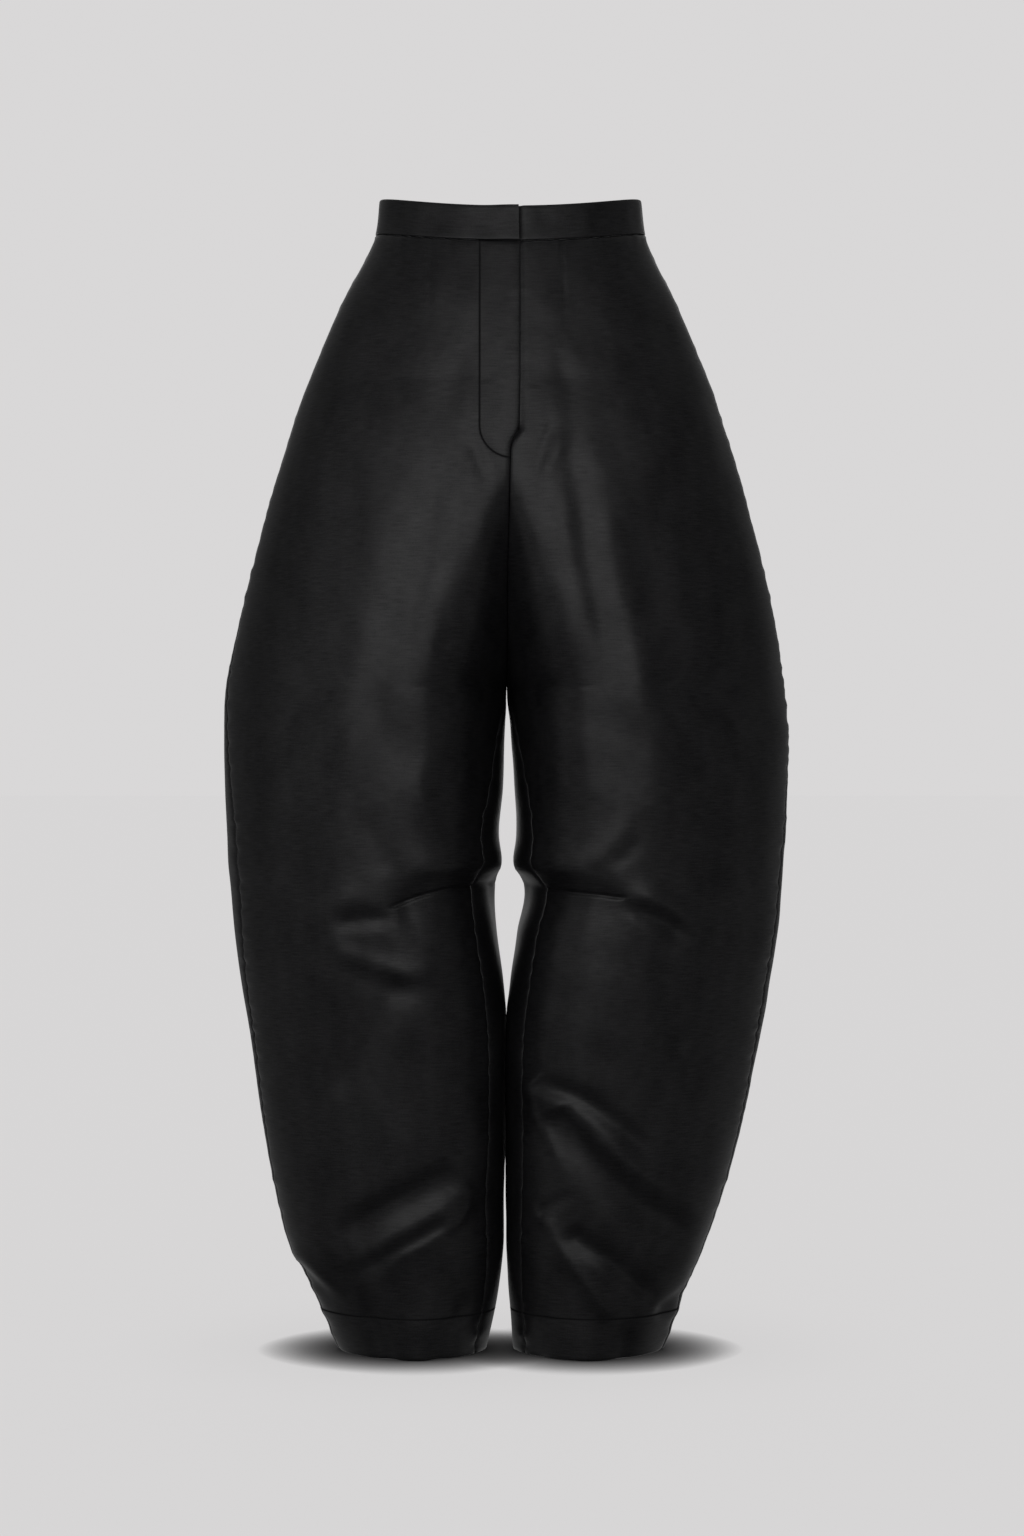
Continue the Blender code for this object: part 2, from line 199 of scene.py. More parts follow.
def keepLegsApart(leg, points):
    plane = form("middle", points[..., 2]) + shape["contactLean"] * points[..., 1]
    gap = shape["legGap"] / 2
    limit = np.minimum(points[..., 0], plane - gap) if leg == "right" else np.maximum(points[..., 0], plane + gap)
    points[..., 0] = np.where(points[..., 2] < shape["crotch"] - 0.001, limit, points[..., 0])


# Folds, in millimetres. A positive height is a ridge. left and right are the half widths on
# either side of one who walks along the line, as seen from the front. start and end are the shares
# of the line over which the fold fades in and out. A power below 2 makes a sharper crease.
foldNames = ("height", "left", "right", "start", "end", "power", "line")
frontRightFolds = (
    (1.8, 22, 26, 0.3, 0.2, 2,
        ((-88, 830), (-98, 780), (-116, 728), (-130, 649), (-140, 584), (-154, 519), (-160, 445))),
    (-1.8, 13, 14, 0.3, 0.3, 2,
        ((-60, 860), (-72, 793), (-80, 728), (-93, 675), (-103, 623), (-108, 584), (-98, 545), (-90, 520))),
    (1.7, 14, 14, 0.3, 0.2, 2,
        ((-36, 850), (-42, 806), (-56, 728), (-72, 675), (-72, 640), (-76, 600), (-72, 560), (-78, 518), (-78, 453))),
    (-1.4, 7, 7, 0.4, 0.4, 2, ((-46, 668), (-60, 650), (-72, 640))),
    (1.6, 9, 9, 0.4, 0.4, 2, ((-92, 560), (-84, 520), (-72, 490), (-62, 476))),
    (-1.2, 10, 10, 0.4, 0.3, 2, ((-132, 510), (-126, 485), (-118, 460), (-113, 440))),
    (-1.2, 12, 12, 0.3, 0.3, 2, ((-36, 960), (-40, 917), (-50, 886), (-61, 851), (-66, 806))),
    (-0.6, 1.6, 1.6, 0.02, 0.5, 2, ((-72, 1032), (-73, 1000), (-74, 960), (-75, 920))),
    (-1.4, 5, 5, 0.4, 0.4, 2, ((-40, 838), (-34, 826), (-27, 806), (-22, 790))),
    (1.0, 5, 5, 0.4, 0.4, 2, ((-30, 842), (-24, 826), (-17, 806), (-14, 790))),
    (-6.0, 40, 13, 0.02, 0.30, 1.5, ((6, 434), (-27, 431), (-56, 428), (-83, 422), (-100, 417), (-118, 412))),
    (-2.0, 1.7, 1.7, 0.02, 0.1, 2, ((6, 434), (-27, 432), (-56, 430), (-83, 424), (-100, 418), (-111, 414))),
    (4.0, 8, 22, 0.1, 0.4, 2, ((4, 446), (-34, 452), (-70, 450), (-104, 444))),
    (-2.6, 9, 9, 0.3, 0.4, 2, ((-100, 404), (-124, 405), (-144, 402), (-152, 390))),
    (2.0, 10, 10, 0.2, 0.3, 2,
        ((-118, 424), (-146, 423), (-163, 412), (-165, 394), (-150, 374), (-118, 361), (-84, 356), (-56, 364), (-34, 386))),
    (-1.3, 12, 14, 0.2, 0.3, 2, ((-150, 374), (-126, 352), (-98, 342), (-62, 344), (-36, 362))),
    (-2.6, 13, 13, 0.2, 0.3, 2, ((-98, 356), (-108, 338), (-122, 308), (-134, 280), (-150, 256), (-166, 240))),
    (2.0, 14, 14, 0.3, 0.3, 2, ((-162, 385), (-170, 354), (-180, 322), (-184, 290), (-178, 262))),
    (-5.6, 20, 12, 0.2, 0.3, 2, ((-46, 176), (-64, 168), (-93, 154), (-124, 137), (-149, 120), (-172, 104))),
    (2.6, 12, 11, 0.15, 0.3, 2, ((-34, 164), (-49, 148), (-90, 124), (-130, 102), (-162, 90))),
    (-2.6, 9, 9, 0.2, 0.3, 2, ((-56, 128), (-71, 121), (-102, 104), (-130, 88), (-159, 73))),
    (2.4, 7, 6, 0.2, 0.3, 1.5, ((-34, 150), (-42, 140), (-52, 126), (-77, 110), (-109, 92), (-126, 66))),
    (-2.6, 7, 7, 0.2, 0.4, 2, ((-204, 82), (-193, 74), (-173, 57), (-144, 45))),
    (1.8, 8, 8, 0.2, 0.4, 2, ((-206, 98), (-190, 90), (-170, 74), (-146, 62))),
    (-3.0, 9, 9, 0.4, 0.02, 2, ((-138, 60), (-132, 45), (-124, 28), (-116, 10), (-112, -4))),
    (2.0, 14, 14, 0.4, 0.02, 2, ((-92, 56), (-88, 30), (-86, 4), (-86, -6))),
    (-3.0, 8, 10, 0.3, 0.02, 2, ((-38, 64), (-46, 42), (-58, 22), (-66, -4))),
)
frontLeftFolds = (
    (1.8, 14, 14, 0.3, 0.3, 2, ((34, 850), (40, 793), (46, 728), (58, 650), (66, 571), (70, 498), (72, 460))),
    (-1.8, 11, 11, 0.3, 0.3, 2, ((50, 830), (60, 779), (70, 714), (84, 650), (88, 584), (88, 505))),
    (1.8, 20, 16, 0.3, 0.2, 2, ((66, 860), (80, 807), (92, 728), (106, 662), (116, 597), (128, 519), (132, 453))),
    (-1.6, 24, 24, 0.3, 0.3, 2, ((110, 800), (124, 728), (148, 620), (162, 519))),
    (-1.3, 10, 10, 0.3, 0.3, 2, ((38, 950), (44, 903), (52, 869), (55, 816), (52, 780))),
    (-0.8, 1.6, 1.6, 0.02, 0.5, 2, ((44, 1030), (45, 1000), (47, 960), (48, 916))),
    (-1.5, 5, 5, 0.4, 0.4, 2, ((40, 856), (35, 846), (25, 820), (21, 799), (18, 780))),
    (1.2, 6, 6, 0.4, 0.4, 2, ((50, 846), (42, 826), (33, 808), (28, 786))),
    (1.2, 8, 10, 0.4, 0.3, 2, ((112, 516), (98, 486), (80, 462), (66, 450))),
    (-1.3, 7, 7, 0.4, 0.4, 2, ((118, 484), (102, 462), (88, 450))),
    (-4.8, 12, 38, 0.02, 0.3, 1.5, ((-14, 433), (12, 430), (47, 426), (77, 424), (93, 421), (112, 418))),
    (-2.0, 1.7, 1.7, 0.02, 0.1, 2, ((-14, 433), (12, 431), (47, 428), (77, 426), (93, 424), (102, 424))),
    (3.5, 20, 8, 0.1, 0.4, 2, ((-12, 448), (20, 450), (50, 450), (82, 446))),
    (-3.0, 9, 8, 0.3, 0.4, 2, ((88, 420), (117, 410), (139, 400), (151, 390), (162, 374))),
    (2.6, 10, 9, 0.3, 0.4, 2, ((100, 430), (122, 424), (144, 414), (158, 398), (166, 378))),
    (2.2, 12, 12, 0.3, 0.3, 2, ((148, 392), (160, 372), (166, 346), (164, 314), (158, 292))),
    (-2.0, 10, 10, 0.3, 0.3, 2, ((128, 372), (138, 346), (140, 318), (132, 296))),
    (-2.0, 8, 8, 0.4, 0.4, 2, ((126, 300), (145, 290), (164, 284))),
    (1.6, 9, 9, 0.3, 0.4, 2, ((180, 300), (166, 286), (148, 272))),
    (-3.6, 9, 8, 0.2, 0.3, 2, ((20, 256), (27, 252), (60, 243), (87, 225), (115, 202), (134, 186))),
    (2.6, 10, 10, 0.15, 0.3, 2, ((14, 260), (22, 250), (60, 222), (94, 190), (125, 166), (160, 136))),
    (-5.6, 13, 20, 0.2, 0.3, 2, ((38, 234), (44, 224), (62, 199), (87, 171), (118, 145), (151, 121), (172, 109))),
    (1.4, 5, 5, 0.3, 0.4, 2, ((13, 262), (15, 250), (20, 226), (32, 204), (43, 180), (46, 165))),
    (-2.0, 6, 6, 0.4, 0.4, 2, ((22, 134), (28, 138), (44, 149), (60, 156))),
    (3.2, 7, 9, 0.2, 0.25, 1.4, ((26, 140), (34, 124), (47, 100), (66, 74), (84, 50), (94, 36))),
    (-4.6, 10, 9, 0.2, 0.3, 2, ((50, 126), (62, 110), (90, 92), (116, 68), (132, 50))),
    (2.4, 14, 14, 0.4, 0.02, 2, ((60, 44), (66, 20), (70, 2), (70, -6))),
    (-3.0, 7, 7, 0.3, 0.3, 2, ((130, 34), (142, 44), (156, 52), (172, 60))),
    (-2.6, 9, 9, 0.4, 0.02, 2, ((30, 60), (28, 28), (24, 4), (23, -6))),
    (-2.2, 8, 8, 0.4, 0.02, 2, ((108, 40), (104, 20), (100, 0), (100, -6))),
)
backRightFolds = (
    (-5.0, 20, 20, 0.25, 0.25, 2, ((-20, 640), (-70, 560), (-150, 500), (-220, 470))),
    (4.0, 18, 18, 0.25, 0.25, 2, ((-30, 590), (-95, 500), (-170, 440))),
    (-5.0, 12, 16, 0.2, 0.3, 2, ((-16, 424), (-50, 415), (-95, 400), (-165, 350))),
    (3.0, 12, 12, 0.25, 0.3, 2, ((-20, 400), (-80, 372), (-140, 330))),
    (-5.0, 12, 15, 0.25, 0.25, 2, ((-40, 240), (-100, 200), (-175, 150))),
    (4.0, 12, 14, 0.25, 0.25, 2, ((-50, 205), (-110, 160), (-160, 110))),
    (-3.0, 8, 8, 0.25, 0.3, 2, ((-60, 160), (-100, 130), (-150, 92))),
    (-2.6, 14, 14, 0.3, 0.3, 2, ((-60, 900), (-84, 800), (-110, 700), (-120, 600))),
    (2.4, 16, 16, 0.3, 0.3, 2, ((-120, 860), (-150, 760), (-168, 660), (-176, 560))),
    (-2.0, 10, 10, 0.3, 0.3, 2, ((-176, 330), (-160, 290), (-130, 270), (-96, 276))),
    (-2.2, 9, 9, 0.4, 0.02, 2, ((-120, 60), (-108, 30), (-104, -4))),
)
backLeftFolds = (
    (-5.0, 20, 20, 0.25, 0.25, 2, ((15, 650), (60, 555), (140, 490), (210, 455))),
    (4.0, 18, 18, 0.25, 0.25, 2, ((20, 580), (85, 480), (150, 425))),
    (-5.0, 16, 12, 0.2, 0.3, 2, ((10, 432), (50, 420), (100, 390), (170, 355))),
    (3.0, 12, 12, 0.25, 0.3, 2, ((14, 404), (70, 384), (130, 342))),
    (-5.0, 15, 12, 0.25, 0.25, 2, ((35, 225), (90, 180), (165, 150))),
    (4.0, 14, 12, 0.25, 0.25, 2, ((30, 190), (80, 140), (140, 105))),
    (-3.0, 8, 8, 0.25, 0.3, 2, ((46, 150), (86, 116), (130, 84))),
    (-2.6, 14, 14, 0.3, 0.3, 2, ((54, 890), (76, 790), (98, 690), (112, 600))),
    (2.4, 16, 16, 0.3, 0.3, 2, ((114, 850), (140, 750), (158, 650), (166, 560))),
    (-2.0, 10, 10, 0.3, 0.3, 2, ((170, 318), (150, 280), (118, 264), (84, 270))),
    (-2.2, 9, 9, 0.4, 0.02, 2, ((100, 56), (90, 28), (86, -4))),
)
legFolds = {"right": (frontRightFolds, backRightFolds), "left": (frontLeftFolds, backLeftFolds)}


def foldRelief(x, heights, rows):
    total = np.zeros(x.shape)
    for row in rows:
        fold = dict(zip(foldNames, row))
        line = smoothLine(fold["line"])
        reach = 0.0028 * max(fold["left"], fold["right"])
        near = (x > line[:, 0].min() - reach) & (x < line[:, 0].max() + reach)
        near &= (heights > line[:, 1].min() - reach) & (heights < line[:, 1].max() + reach)
        if not near.any():
            continue
        offset = np.stack([x[near], heights[near]], axis=-1)[:, None] - line
        nearest = (offset**2).sum(-1).argmin(1)
        offset = offset[np.arange(len(nearest)), nearest]
        direction = np.gradient(line, axis=0)
        step = np.linalg.norm(direction, axis=1)
        direction = (direction / step[:, None])[nearest]
        side = direction[:, 0] * offset[:, 1] - direction[:, 1] * offset[:, 0]
        along = (nearest + (direction * offset).sum(1) / step[nearest]) / (len(line) - 1)
        width = np.where(side > 0, fold["left"], fold["right"]) / 1000
        profile = np.exp(-((np.abs(side) / width) ** fold["power"]))
        fade = ease(along / fold["start"]) * ease((1 - along) / fold["end"])
        total[near] += fold["height"] / 1000 * profile * fade
    return total


# Small unevenness of cloth that has been worn, mostly across the leg.
unevenness = {"height": 0.45, "waves": 14, "shortest": 0.040, "longest": 0.120}


def waviness(x, heights, seed):
    chance = np.random.default_rng(seed)
    total = np.zeros(x.shape)
    for _ in range(unevenness["waves"]):
        length = chance.uniform(unevenness["shortest"], unevenness["longest"])
        tilt = chance.normal(0, 0.5)
        phase = chance.uniform(0, 2 * math.pi)
        run = x * math.cos(tilt) + heights * math.sin(tilt)
        total += np.sin(2 * math.pi * run / length + phase)
    return total * unevenness["height"] / 1000 / math.sqrt(unevenness["waves"])


# The leg panels
panel = {
    "rowStep": 0.0027,
    "backRowStep": 0.0036,
    "dartRowStep": 0.0011,
    "frontColumns": 98,
    "backColumns": 84,
    "cloth": 0.0006,
    "lap": {"right": 0.0, "left": 0.0024},
    "seamRoll": 0.0015,
    "seamRollWidth": 0.0021,
    "pucker": 0.00055,
    "puckerWidth": 0.009,
    "topRoll": 0.0009,
    "topRollWidth": 0.0018,
    "topPucker": 0.0007,
    "topPuckerWidth": 0.006,
    "flyEnd": 0.825,
    "flyOverlap": 0.0075,
    "flyOverlapRun": 0.024,
    "flyStretch": 0.040,
    "flyUnderFrom": 0.016,
    "flyUnderRun": 0.012,
    "flyDipFrom": 0.004,
    "flyDipRun": 0.016,
    "flyDipEdge": 0.0036,
    "flyDipWidth": 0.0042,
    "flyDip": 0.0022,
}
# Rows of the turned-up hem, from its raw edge inside, down and round the fold: height, inward
hemRows = (
    (41.5, 2.3), (36, 2.3), (29, 2.3), (20, 2.3), (10, 2.3), (4, 2.3),
    (1.5, 2.1), (0.4, 1.6), (0.1, 1.1), (0.4, 0.55), (1.5, 0.12),
)
topRows = ((1034.5, 0.30), (1034.95, 0.8), (1035.0, 1.5), (1034.9, 2.7))
tuckColumns = (4.2, 2.4)  # how far inwards the seam allowance turns at each edge


def panelRows(face):
    step = panel["rowStep"] if face == "front" else panel["backRowStep"]
    outside = np.arange(0.004, 1.0335, step)
    if face == "front":
        outside = outside[(outside < 0.402) | (outside > 0.442)]
        outside = np.sort(np.concatenate([outside, np.arange(0.402, 0.442, panel["dartRowStep"])]))
    rows = [(h / 1000, inward / 1000) for h, inward in hemRows]
    rows += [(h, 0.0) for h in outside]
    rows += [(h / 1000, inward / 1000) for h, inward in topRows]
    return np.array(rows).T


def panelColumns(count):
    edge = np.array([0, 0.0022, 0.005, 0.009, 0.015, 0.023])
    middle = np.linspace(0.033, 0.967, count - 2 * len(edge))
    return np.concatenate([edge, middle, 1 - edge[::-1]])


def legRelief(leg, points):
    x, y, heights = points[..., 0], points[..., 1], points[..., 2]
    front, back = legFolds[leg]
    inFront = ease(0.5 - y / 0.05)
    total = foldRelief(x, heights, front) * inFront + foldRelief(x, heights, back) * (1 - inFront)
    total += waviness(x + 0.6 * y, heights, 5 if leg == "right" else 9) * ease((1.03 - heights) / 0.10)
    offMiddle = np.abs(x - form("middle", heights))
    return total * np.where(heights > shape["crotch"], ease(offMiddle / 0.02), 1.0)


def shapeFly(leg, points, normals):
    x, heights = points[..., 0], points[..., 2]
    nearEdge = ease(1 - np.abs(x - form("middle", heights)) / panel["flyStretch"])
    aboveEnd = heights - panel["flyEnd"]
    overlap = panel["flyOverlap"] * ease(aboveEnd / panel["flyOverlapRun"])
    if leg == "right":
        points[..., 0] += overlap * nearEdge
        return
    beside = np.where(aboveEnd > 0, 1 - ease((aboveEnd - panel["flyUnderFrom"]) / panel["flyUnderRun"]), 0.0)
    points[..., 0] += (overlap + shape["seamGap"]) * beside * nearEdge
    under = ease((aboveEnd - panel["flyDipFrom"]) / panel["flyDipRun"])
    under = under * ease((overlap + panel["flyDipWidth"] - points[..., 0]) / panel["flyDipEdge"])
    points -= normals * under[..., None] * panel["flyDip"]


# The valley between the thighs, in front of the crotch seam
valley = {
    "from": 0.810,
    "run": 0.105,
    "to": 0.500,
    "fadeRun": 0.130,
    "depth": 0.019,
    "width": 0.010,
    "widens": 0.013,
    "widenRun": 0.170,
    "power": 1.7,
}


def seamPucker(heights, seed):
    chance = np.random.default_rng(seed)
    total = np.zeros(heights.shape)
    for length in chance.uniform(0.010, 0.026, 9):
        total += np.sin(2 * math.pi * heights / length + chance.uniform(0, 2 * math.pi))
    return total / 3


def panelGrid(leg, face):
    rows, inward = panelRows(face)
    across = panelColumns(panel[face + "Columns"])
    heights, across = np.meshgrid(rows, across, indexing="ij")
    seam = np.radians(column(sideSeamRows, sideSeamNames, leg, heights))
    below = np.clip(shape["crotch"] - heights, 0, None)
    turn = math.radians(shape["inseamTurn"]) * (1 - np.exp(-below / shape["inseamTurnLength"]))
    aboveCrotch = heights > shape["crotch"]
    edge = np.where(aboveCrotch, endAngle(heights), math.pi - turn)
    if face == "back":
        edge = np.where(aboveCrotch, -edge, edge - 2 * math.pi)
    angles = seam + (edge - seam) * across
    nearWaist = ease((heights - shape["dipStarts"]) / (shape["waistSeam"] - shape["dipStarts"]))
    heights = heights + waistDip(angles) * nearWaist
    points = legPoint(leg, heights, angles)
    normals = legNormal(leg, heights, angles)
    points += normals * legRelief(leg, points)[..., None]
    keepLegsApart(leg, points)
    if face == "front":
        offMiddle = np.abs(points[..., 0] - form("middle", heights))
        deep = ease((valley["from"] - heights) / valley["run"]) * ease((heights - valley["to"]) / valley["fadeRun"])
        width = valley["width"] + valley["widens"] * ease((valley["from"] - heights) / valley["widenRun"])
        points[..., 1] += valley["depth"] * deep * np.exp(-((offMiddle / width) ** valley["power"]))
        shapeFly(leg, points, normals)
    # above the crotch the two legs' edges meet face to face, so they turn straight inwards
    offMiddle = np.abs(points[..., 0] - form("middle", heights))
    nearMiddle = np.exp(-((offMiddle / 0.012) ** 4)) * aboveCrotch
    normals[..., 0] *= 1 - nearMiddle
    normals /= np.linalg.norm(normals, axis=-1, keepdims=True)
    # rolled and puckered seams
    run = np.cumsum(np.linalg.norm(np.diff(points, axis=1, prepend=points[:, :1]), axis=-1), axis=1)
    for distance, seed in ((run, 31), (run[:, -1:] - run, 47)):
        roll = panel["seamRoll"] * np.exp(-distance / panel["seamRollWidth"])
        ripple = panel["pucker"] * seamPucker(heights, seed) * np.exp(-((distance / panel["puckerWidth"]) ** 2))
        ripple *= 1 - 0.85 * nearMiddle
        points -= normals * (roll + ripple)[..., None]
    fromTop = np.clip(shape["waistSeam"] - rows, 0, 1)[:, None]
    ripple = 0.5 + 0.5 * seamPucker(points[..., 0] * 1.3, 71)
    topSeam = panel["topRoll"] * np.exp(-fromTop / panel["topRollWidth"])
    topSeam = topSeam + panel["topPucker"] * ripple * np.exp(-fromTop / panel["topPuckerWidth"])
    points -= normals * topSeam[..., None]
    # the gap at the seams
    away = -1 if leg == "right" else 1
    half = shape["seamGap"] / 2
    step = points[:, 1] - points[:, 0]
    points[:, 0] += step / np.linalg.norm(step, axis=-1, keepdims=True) * half
    step = points[:, -2] - points[:, -1]
    step = step / np.linalg.norm(step, axis=-1, keepdims=True)
    points[:, -1] += np.where(aboveCrotch[:, -1:], (away, 0, 0), step) * half
    points -= normals * inward[:, None, None]
    tucks = [np.array(tuckColumns) / 1000, np.array(tuckColumns[::-1]) / 1000]
    first = points[:, :1] - normals[:, :1] * tucks[0][None, :, None]
    last = points[:, -1:] - normals[:, -1:] * tucks[1][None, :, None]
    last[:, 1, 0] += np.where(aboveCrotch[:, -1], -away * panel["lap"][leg], 0)
    points = np.concatenate([first, points, last], axis=1)
    points[..., 2] = np.maximum(points[..., 2], 0.00015)
    return points


def gridMesh(name, points, flip, thickness, closed=False):
    count = points.shape[:2]
    at = np.arange(count[0] * count[1]).reshape(count)
    if closed:
        at = np.concatenate([at, at[:, :1]], axis=1)
    quads = np.stack([at[:-1, :-1], at[:-1, 1:], at[1:, 1:], at[1:, :-1]], axis=-1).reshape(-1, 4)
    if flip:
        quads = quads[:, ::-1]
    flat = points.reshape(-1, 3) - (0, 0, waistHeight)
    mesh = bpy.data.meshes.new(name)
    mesh.from_pydata(flat.tolist(), [], quads.tolist())
    # the cloth's own coordinates, in metres along the weft and the warp
    middle = points.shape[1] // 2
    weft = np.cumsum(np.linalg.norm(np.diff(points, axis=1, prepend=points[:, :1]), axis=-1), axis=1)
    weft = weft - weft[:, middle : middle + 1]
    line = points[:, middle : middle + 1]
    warp = np.cumsum(np.linalg.norm(np.diff(line, axis=0, prepend=line[:1]), axis=-1), axis=0)
    cloth = np.stack([weft, np.broadcast_to(warp, weft.shape)], axis=-1).reshape(-1, 2)
    corners = np.zeros(len(mesh.loops), np.int32)
    mesh.loops.foreach_get("vertex_index", corners)
    layer = mesh.uv_layers.new(name="cloth")
    layer.uv.foreach_set("vector", cloth[corners].astype(np.float32).ravel())
    mesh.shade_smooth()
    piece = bpy.data.objects.new(name, mesh)
    scene.collection.objects.link(piece)
    if thickness:
        wall = piece.modifiers.new("cloth", "SOLIDIFY")
        wall.thickness = thickness
        wall.offset = -1
        apply(piece)
    return piece


def apply(piece):
    bpy.context.view_layer.objects.active = piece
    with bpy.context.temp_override(object=piece, active_object=piece):
        for modifier in list(piece.modifiers):
            bpy.ops.object.modifier_apply(modifier=modifier.name)


# A wire carries a node's output, so that shader maths reads as plain expressions
class Wire:
    def __init__(self, paint, socket):
        self.paint = paint
        self.socket = socket

    def math(self, operation, *others):
        pair = dict(enumerate((self, *others)))
        return self.paint.node("ShaderNodeMath", {"operation": operation}, pair)

    def flipped(self, operation, other):
        return self.paint.node("ShaderNodeMath", {"operation": operation}, {0: other, 1: self})

    def __add__(self, other):
        return self.math("ADD", other)

    def __sub__(self, other):
        return self.math("SUBTRACT", other)

    def __mul__(self, other):
        return self.math("MULTIPLY", other)

    def __truediv__(self, other):
        return self.math("DIVIDE", other)

    def __pow__(self, other):
        return self.math("POWER", other)

    def __radd__(self, other):
        return self.flipped("ADD", other)

    def __rsub__(self, other):
        return self.flipped("SUBTRACT", other)

    def __rmul__(self, other):
        return self.flipped("MULTIPLY", other)

    def __rtruediv__(self, other):
        return self.flipped("DIVIDE", other)

    def __neg__(self):
        return self.flipped("SUBTRACT", 0.0)

    def __abs__(self):
        return self.math("ABSOLUTE")


class Paint:
    def __init__(self, name, owner=None):
        self.material = owner or bpy.data.materials.new(name)
        self.material.use_nodes = True
        self.tree = self.material.node_tree
        self.tree.nodes.clear()

    def node(self, kind, settings=None, sockets=None, output=0):
        made = self.tree.nodes.new(kind)
        for key, value in (settings or {}).items():
            if key == "greyStops":
                made.color_ramp.interpolation = "EASE"
                stops = made.color_ramp.elements
                while len(stops) < len(value):
                    stops.new(0.5)
                for stop, (at, grey) in zip(stops, value):
                    stop.position, stop.color = at, (grey, grey, grey, 1)
            else:
                setattr(made, key, value)
        for key, value in (sockets or {}).items():
            socket = made.inputs[key]
            if isinstance(value, Wire):
                self.tree.links.new(value.socket, socket)
            else:
                socket.default_value = value
        return Wire(self, made.outputs[output])

    def mix(self, share, a, b):
        sockets = {0: share, 6: (*a, 1), 7: (*b, 1)}
        return self.node("ShaderNodeMix", {"data_type": "RGBA"}, sockets, 2)

    def finish(self, shader, kind="ShaderNodeOutputMaterial"):
        end = self.tree.nodes.new(kind)
        self.tree.links.new(shader.socket, end.inputs["Surface"])
        return self.material


satin = {
    "dark": (0.0014, 0.0014, 0.0016),
    "light": (0.0056, 0.0055, 0.0059),
    "roughness": 0.40,
    "roughnessRange": 0.16,
    "specular": 0.085,
    "coat": 0.085,
    "coatRange": 0.16,
    "coatRoughness": 0.34,
    "slubLength": 0.016,
    "slubHeight": 0.0011,
    "grain": 0.0010,
    "cloud": 0.030,
    "bump": 0.00010,
}


# Mask along the hem and fly stitch lines. It sinks a groove into the bump and roughens it, and it also darkens the
# colour and takes away the coat there: painted shade in the groove.
def grooveAndPaintedShade(paint, lines):
    place = paint.node("ShaderNodeTexCoord", output=3)
    axes = [paint.node("ShaderNodeSeparateXYZ", None, {0: place}, i) for i in range(3)]
    x, z = axes[0], axes[2]
    total = 0.0 * x
    if "hem" in lines:
        off = abs(z + (waistHeight - hemStitch["height"])) / 0.0009
        total = total + 1 / (1 + off * off * off * off)
    if "fly" in lines:
        down = (z + (waistHeight - flyStitch["turnHeight"])).math("MINIMUM", 0.0)
        off = ((x * x + down * down).math("SQRT") - flyStitch["reach"]) / 0.0009
        off = abs(off)
        inFly = x.math("LESS_THAN", 0.001)
        total = total + inFly / (1 + off * off * off * off)
    return total


def blackSatin(name, lines=()):
    paint = Paint(name)
    cloth = paint.node("ShaderNodeUVMap", {"uv_map": "cloth"})

    def noise(across, along, detail):
        size = paint.node("ShaderNodeVectorMath", {"operation": "MULTIPLY"}, {0: cloth, 1: (1 / across, 1 / along, 1)})
        sockets = {"Vector": size, "Scale": 1.0, "Detail": detail, "Roughness": 0.6}
        return paint.node("ShaderNodeTexNoise", {"noise_dimensions": "2D"}, sockets)

    slub = noise(satin["slubLength"], satin["slubHeight"], 2.0)
    grain = noise(satin["grain"], satin["grain"] * 1.4, 3.0)
    cloud = noise(satin["cloud"], satin["cloud"] * 1.7, 5.0)
    weave = slub * 0.5 + grain * 0.5
    grooveAndShade = grooveAndPaintedShade(paint, lines)
    plain = 1.0 - grooveAndShade
    height = weave - grooveAndShade * 1.5 if lines else weave
    bump = paint.node("ShaderNodeBump", None, {"Strength": 1.0, "Distance": satin["bump"], "Height": height})
    # Along the stitch grooves the colour and coat are pulled down: painted shade in the groove. Elsewhere the tone and
    # coat vary at random with the weave and mottling.
    tone = ((weave - 0.5) * 2.4 + (cloud - 0.5) * 0.8 + 0.5) * plain
    rough = satin["roughness"] + (cloud - 0.5) * satin["roughnessRange"] + (grain - 0.5) * 0.10 + grooveAndShade * 0.4
    coat = (satin["coat"] + (weave - 0.5) * (2 * satin["coatRange"]) + (cloud - 0.5) * satin["coatRange"]) * plain
    shader = paint.node(
        "ShaderNodeBsdfPrincipled",
        None,
        {
            "Base Color": paint.mix(tone, satin["dark"], satin["light"]),
            "Roughness": rough,
            "Specular IOR Level": satin["specular"],
            "Coat Weight": coat.math("MAXIMUM", 0.0),
            "Coat Roughness": satin["coatRoughness"],
            "Normal": bump,
        },
    )
    return paint.finish(shader)


hemStitch = {"height": 0.0385, "length": 0.0026, "gap": 0.0010, "radius": 0.00020}
flyStitch = {"reach": 0.029, "turnHeight": 0.846, "length": 0.0026, "gap": 0.0010, "radius": 0.00022}

# The four leg panels: each is built as a cloth wall, given its satin, put on the root body, and its solid is hidden
panels = {}
for leg in ("right", "left"):
    for face in ("front", "back"):
        name = f"{face}_{leg}"
        points = panelGrid(leg, face)
        flip = (leg == "right") != (face == "front")
        piece = gridMesh(name + "_cloth", points, flip, panel["cloth"])
        lines = ("hem", "fly") if name == "front_right" else ("hem",)
        piece.data.materials.append(blackSatin("satin_" + name, lines))
        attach(piece, "root")
        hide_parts(name)
        panels[name] = piece
        print("panel", name, len(piece.data.polygons), "faces")

# The waistband: one strip whose right end lies on its left end
band = {
    "width": 0.0315,
    "thick": 0.0022,
    "overEnd": 0.006,
    "underEnd": -0.030,
    "dive": 0.016,
    "proud": 0.0009,
    "columns": 60,
    "cut": (0.036, 0.730),
}
